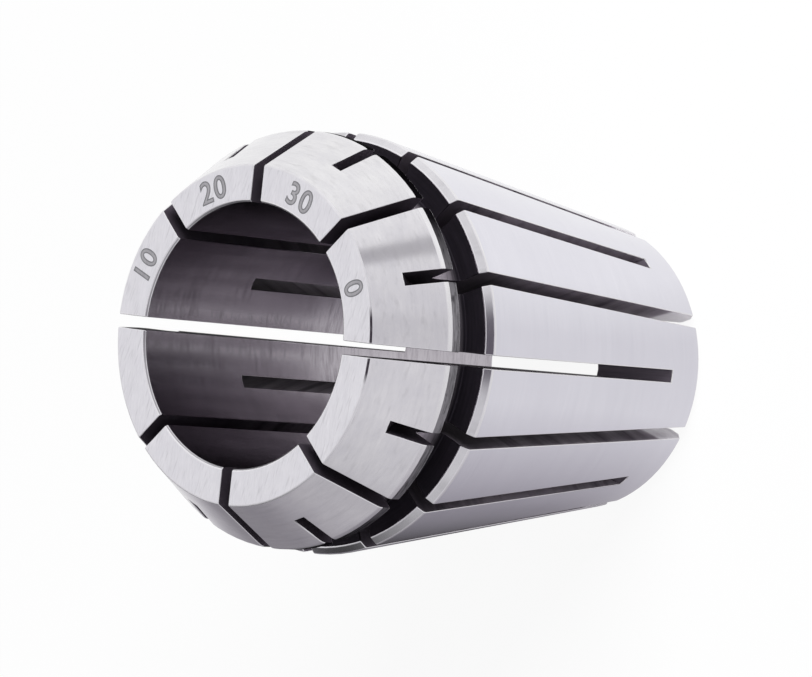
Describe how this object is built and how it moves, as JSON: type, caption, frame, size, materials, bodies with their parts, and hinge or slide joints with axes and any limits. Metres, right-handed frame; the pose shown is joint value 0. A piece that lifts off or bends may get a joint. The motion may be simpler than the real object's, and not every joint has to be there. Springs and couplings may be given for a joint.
{
  "type": "er collet",
  "caption": "Slotted spring collet with a straight bore, a long clamping cone, an extraction groove and a steep nose cone.",
  "frame": {"origin": "centre of the small rear face, on the bore axis", "axes": "+Z along the bore axis towards the wide front face; +X and +Y each pass through a slot cut from the front"},
  "size_m": [0.026, 0.026, 0.034],
  "materials": {
    "ground_steel": "hardened and ground, fine satin, bright edges"
  },
  "bodies": {
    "root": {"collet": "ground_steel"}
  },
  "joints": []
}
